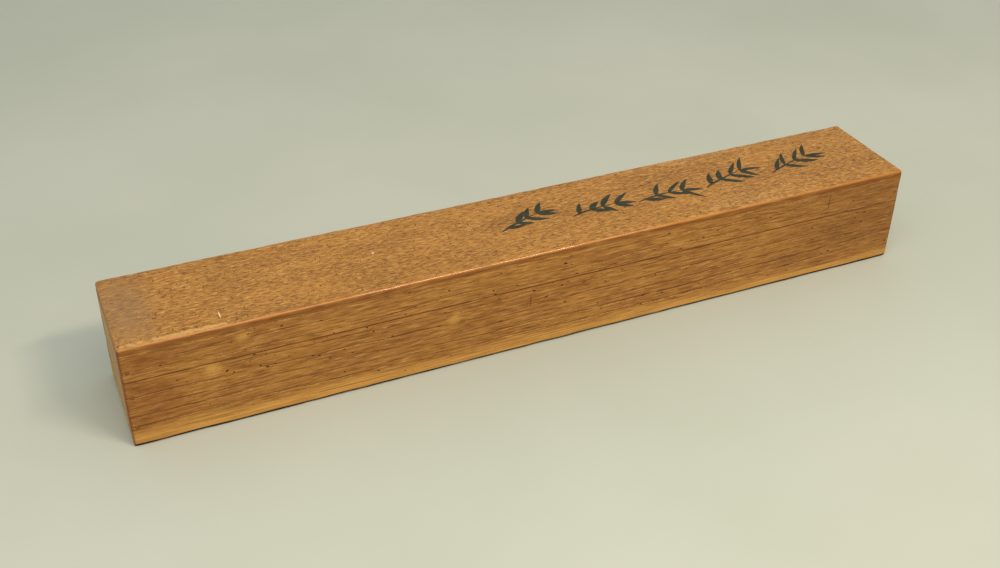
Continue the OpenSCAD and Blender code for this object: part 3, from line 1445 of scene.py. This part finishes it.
@dataclass
class InnerLip:
    """Four pale strips that stand up out of the body and guide the lid, their outer upper edge pared off.

    Attributes:
        wear: Wear of the outside, which doesn't reach them.
        finishes: Materials.
        guide: Radius of the pared edge.
        ease: Radius of the other long edges that show.
    """

    wear: Wear
    finishes: Finishes
    guide: float = 1.2
    ease: float = 0.5

    def build(self) -> None:
        """Builds the strips."""
        for side in (Side.FRONT, Side.BACK, Side.LEFT, Side.RIGHT):
            across = side.axis == 0
            inner = Side((side.axis, -side.sign))
            pared, eased = (self.guide, 4), (self.ease, 3)
            eases = {frozenset((side, Side.TOP)): pared, frozenset((inner, Side.TOP)): eased}
            run = Run.ACROSS if across else Run.ALONG
            strip = Board(f"lip_{side.word}", run, eases=eases)
            wood = self.finishes.inside_end if across else self.finishes.lining
            piece = strip.build(self.wear, wood, wood)
            joined_to(piece, strip.node, "box_body")


@dataclass
class RollerRests:
    """Two pale blocks, each with a round notch that an end of the scroll's roller lies in.

    Attributes:
        finishes: Materials.
        notch: Radius of the notch.
        arm_rise: Height of the arms above the middle of the notch.
        arm_round: Radius of the arms' upper outer corners.
        ease: Width of the eased edges.
        steps: Segments of a rounded corner.
    """

    finishes: Finishes
    notch: float = 12.5
    arm_rise: float = 2.0
    arm_round: float = 5.0
    ease: float = 0.6
    steps: int = 8

    def outline(self, low: Vector, high: Vector) -> list[tuple[float, float]]:
        """Gives the outline of a rest, seen along the box.

        Args:
            low: Lowest corner of the rest.
            high: Highest corner of the rest.

        Returns:
            Points in Y and Z, in order round it.
        """
        top, middle = high.z, high.z - self.arm_rise
        round_y, round_z = high.y - self.arm_round, top - self.arm_round
        quarter = [math.pi / 2 * i / self.steps for i in range(self.steps + 1)]
        corner = [(self.arm_round * math.cos(t), self.arm_round * math.sin(t)) for t in quarter]
        half_turn = [-math.pi * i / (4 * self.steps) for i in range(4 * self.steps + 1)]
        points = [(-high.y, low.z), (high.y, low.z)]
        points += [(round_y + y, round_z + z) for y, z in corner]
        points.append((self.notch, top))
        points += [(self.notch * math.cos(t), middle + self.notch * math.sin(t)) for t in half_turn]
        points.append((-self.notch, top))
        points += [(-round_y - y, round_z + z) for y, z in reversed(corner)]
        return points

    def build(self) -> None:
        """Builds both rests."""
        for node in ("left_roller_rest", "right_roller_rest"):
            low, high = (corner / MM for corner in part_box(node))
            mesh = bmesh.new()
            outline = self.outline(low, high)
            rings = [[mesh.verts.new((x, y, z)) for y, z in outline] for x in (low.x, high.x)]
            rims = [edge for face in skin(mesh, rings) for edge in face.edges]
            bmesh.ops.recalc_face_normals(mesh, faces=mesh.faces)
            bmesh.ops.bevel(mesh, geom=rims, offset=self.ease, segments=3, profile=0.5, affect="EDGES")
            piece = finished_object(f"old_{node}", mesh, [self.finishes.inside_end])
            joined_to(piece, node, "box_body")


# --------------------------------------------------------------------------------------------------
# Ink


@dataclass(frozen=True)
class Stroke:
    """One pull of a brush: set down, drawn along a curve and lifted off.

    Attributes:
        start: Where the brush is set down.
        heading: Way that it sets off, in degrees.
        length: Length of the stroke.
        width: Width where it is fullest.
        fullest: Share of the length where it is fullest.
        bend: Turn over the whole stroke, in degrees.
    """

    start: tuple[float, float]
    heading: float
    length: float
    width: float
    fullest: float = 0.35
    bend: float = 10.0

    def at(self, share: float, steps: int = 24) -> tuple[Vector, Vector]:
        """Follows the stroke.

        Args:
            share: Share of its length that is behind the brush.
            steps: Steps that a whole stroke is followed in.

        Returns:
            The point there, and the unit vector to its left.
        """
        point = Vector(self.start)
        count = max(1, round(share * steps))
        for i in range(count if share else 0):
            way = math.radians(self.heading + self.bend * share * (i + 0.5) / count)
            point += Vector((math.cos(way), math.sin(way))) * (self.length * share / count)
        way = math.radians(self.heading + self.bend * share)
        return point, Vector((-math.sin(way), math.cos(way)))

    def half_width(self, share: float) -> float:
        """Half the width at a share of the stroke."""
        power = math.log(0.5) / math.log(self.fullest)
        return 0.5 * self.width * math.sin(math.pi * min(max(share, 0.004), 0.996) ** power) ** 0.8

    def add_to(self, mesh: BMesh, layer: float, wear: Wear) -> None:
        """Adds the stroke to a mesh as a thin film on the lid.

        Args:
            mesh: Mesh in millimetres.
            layer: Height of the film's upper side above the wood.
            wear: Wear of the outside, which the film follows.
        """
        steps = max(10, round(self.length / 0.7))
        rows = []
        for i in range(steps + 1):
            share = i / steps
            point, left = self.at(share)
            half = self.half_width(share)
            row = []
            for sign in (-1, 1):
                ragged = 1 + 0.22 * noise.noise(Vector((point.x * 1.3, point.y * 1.3, 9.0 * sign)))
                edge = point + left * (sign * half * ragged)
                height = wear.moved(Vector((edge.x, edge.y, wear.high.z))).z
                row += [mesh.verts.new((edge.x, edge.y, height + h)) for h in (-0.05, layer)]
            rows.append(row)
        for (a, b, c, d), (e, f, g, h) in zip(rows, rows[1:]):
            for face in ((b, f, h, d), (a, c, g, e), (a, e, f, b), (c, d, h, g)):
                mesh.faces.new(face)
        for a, b, c, d in (rows[0], rows[-1]):
            mesh.faces.new((a, b, d, c))


@dataclass
class LeafSprays:
    """Row of brushed sprays of narrow leaves along the lid, as plain ornament.

    Attributes:
        wear: Wear of the outside.
        ink: Material.
        places: Places of the sprays along the box.
        y: Place of their middles across the box.
        reach: Length of the first spray along the box.
        growth: How much longer each spray is than the one before.
        seed: Seed of their differences.
    """

    wear: Wear
    ink: Material
    places: tuple[float, ...] = (-2.0, 49.5, 99.5, 153.0, 207.0)
    y: float = 1.0
    reach: float = 43.0
    growth: float = 1.5
    seed: int = 23

    def strokes(self, x: float, size: float, draw: random.Random) -> list[Stroke]:
        """Gives the strokes of one spray: a bent twig, and leaves in pairs towards its tip.

        Args:
            x: Place of the spray along the box.
            size: Length of the spray.
            draw: Source of the differences between sprays.

        Returns:
            The strokes, in the order in which they are brushed.
        """
        lean = draw.uniform(16, 30)
        start = (x - 0.44 * size, self.y - 0.14 * size)
        twig = Stroke(start, lean, 0.78 * size, draw.uniform(1.5, 2.1), 0.3, draw.uniform(-30, -12))
        strokes = [twig]
        for share, count in ((0.16, 1), (0.42, 2), (0.68, 2), (0.95, 2)):
            base, _ = twig.at(share)
            for side in draw.sample((-1, 1), count):
                heading = lean + side * draw.uniform(34, 62) - 20 * share
                length = size * draw.uniform(0.26, 0.40)
                width = draw.uniform(3.0, 4.6)
                bend = -side * draw.uniform(8, 26)
                fullest = draw.uniform(0.3, 0.42)
                strokes.append(Stroke((base.x, base.y), heading, length, width, fullest, bend))
        tip, _ = twig.at(0.97)
        strokes.append(Stroke((tip.x, tip.y), lean - 26, size * 0.32, 3.4, 0.36, -14))
        return strokes

    def build(self) -> None:
        """Builds the sprays, each as its own piece."""
        draw = random.Random(self.seed)
        for number, x in enumerate(self.places, 1):
            mesh = bmesh.new()
            size = self.reach + self.growth * number
            for order, stroke in enumerate(self.strokes(x, size, draw)):
                stroke.add_to(mesh, 0.03 + 0.006 * order, self.wear)
            bmesh.ops.recalc_face_normals(mesh, faces=mesh.faces)
            piece = finished_object(f"ink_leaf_spray_{number}", mesh, [self.ink])
            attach(piece, "lid")
            LOG.info("%s: %d faces", piece.name, len(piece.data.polygons))


# --------------------------------------------------------------------------------------------------
# Studio


def bearing(azimuth: float, elevation: float) -> Vector:
    """Unit vector from the box, at an angle round it and an angle above the floor, in degrees."""
    turn, tilt = math.radians(azimuth), math.radians(elevation)
    return Vector((math.sin(turn) * math.cos(tilt), -math.cos(turn) * math.cos(tilt), math.sin(tilt)))


@dataclass(frozen=True)
class ViewCamera:
    """Camera in front of the box, left of its middle and above it.

    Attributes:
        azimuth: Angle round the box, in degrees.
        elevation: Angle above the floor, in degrees.
        roll: Turn about its own axis, in degrees.
        distance: Distance from the footprint's centre, measured along its axis.
        aside: Its shift to the right and up, square to its axis.
        lens: Focal length on a 36 mm sensor.
    """

    azimuth: float = -24.06
    elevation: float = 33.77
    roll: float = 0.67
    distance: float = 864.1
    aside: tuple[float, float] = (-18.6, 17.9)
    lens: float = 45.33

    def build(self) -> None:
        """Makes the camera and sets it as the scene's."""
        data = bpy.data.cameras.new("camera")
        data.lens = self.lens
        data.sensor_width = 36.0
        data.clip_start, data.clip_end = 0.01, 100.0
        back = bearing(self.azimuth, self.elevation)
        spin = Matrix.Rotation(math.radians(self.roll), 3, back)
        right = spin @ Vector((0.0, 0.0, 1.0)).cross(back).normalized()
        up = back.cross(right)
        camera = bpy.data.objects.new("camera", data)
        place = (back * self.distance + right * self.aside[0] + up * self.aside[1]) * MM
        axes = Matrix((right, up, back)).transposed().to_4x4()
        camera.matrix_world = Matrix.Translation(place) @ axes
        bpy.context.scene.collection.objects.link(camera)
        bpy.context.scene.camera = camera


@dataclass(frozen=True)
class Lamp:
    """Soft rectangular light that looks at the box.

    Attributes:
        name: Name.
        azimuth: Angle round the box, in degrees, as the camera's.
        elevation: Angle above the floor, in degrees.
        distance: Distance from the box.
        size: Width and height of the rectangle.
        watts: Power.
        colour: sRGB hex colour.
    """

    name: str
    azimuth: float
    elevation: float
    distance: float
    size: tuple[float, float]
    watts: float
    colour: str

    def build(self) -> None:
        """Makes the light."""
        data = bpy.data.lights.new(self.name, "AREA")
        data.shape = "RECTANGLE"
        data.size, data.size_y = (side * MM for side in self.size)
        data.energy = self.watts
        data.color = linear(self.colour)[:3]
        way = bearing(self.azimuth, self.elevation)
        lamp = bpy.data.objects.new(self.name, data)
        lamp.location = way * self.distance * MM
        lamp.rotation_mode = "QUATERNION"
        lamp.rotation_quaternion = way.to_track_quat("Z", "Y")
        bpy.context.scene.collection.objects.link(lamp)


@dataclass
class Studio:
    """Pale floor, even fill from all round, and soft lights.

    Attributes:
        lamps: The lights.
        fill: sRGB hex colour of the fill.
        fill_strength: Strength of the fill.
        reach: Half the floor's size.
    """

    lamps: tuple[Lamp, ...]
    fill: str = "#f3f6f4"
    fill_strength: float = 0.77
    reach: float = 30000.0

    def build(self) -> None:
        """Builds the floor, the fill and the lights."""
        # Matt painted board: pale grey-green, so smooth that only a faint mottling shows.
        paint = Plain("pale matt floor", "#b5b7a9", "#afb2a3", (240.0, 240.0, 240.0), 0.85, 0.0)
        mesh = bmesh.new()
        bmesh.ops.create_grid(mesh, x_segments=1, y_segments=1, size=self.reach)
        floor = finished_object("floor", mesh, [paint.build()])
        floor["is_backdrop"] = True
        world = bpy.data.worlds.new("fill")
        world.use_nodes = True
        fill = world.node_tree.nodes["Background"]
        fill.inputs["Color"].default_value = linear(self.fill)
        fill.inputs["Strength"].default_value = self.fill_strength
        bpy.context.scene.world = world
        for lamp in self.lamps:
            lamp.build()
        bpy.context.scene.view_settings.view_transform = "Standard"


LAMPS = (
    Lamp("key", 26.0, 50.0, distance=1500.0, size=(480.0, 80.0), watts=11.0, colour="#ffeed6"),
    Lamp("front", -28.0, 56.0, distance=1050.0, size=(800.0, 800.0), watts=4.4, colour="#fffcf6"),
)

def main() -> None:
    """Builds the studio and the box."""
    logging.basicConfig(level=logging.INFO, format="%(message)s")
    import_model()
    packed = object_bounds()
    ViewCamera().build()
    Studio(LAMPS).build()
    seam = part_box("body_front_side")[1].z / MM
    wear = Wear(packed[0] / MM, packed[1] / MM, seam)
    finishes = Finishes.make(wear)
    Box(wear, finishes, Beetles(FRONT_GALLERIES)).build()
    InnerLip(wear, finishes).build()
    RollerRests(finishes).build()
    LeafSprays(wear, finishes.ink).build()


if __name__ == "__main__":
    main()
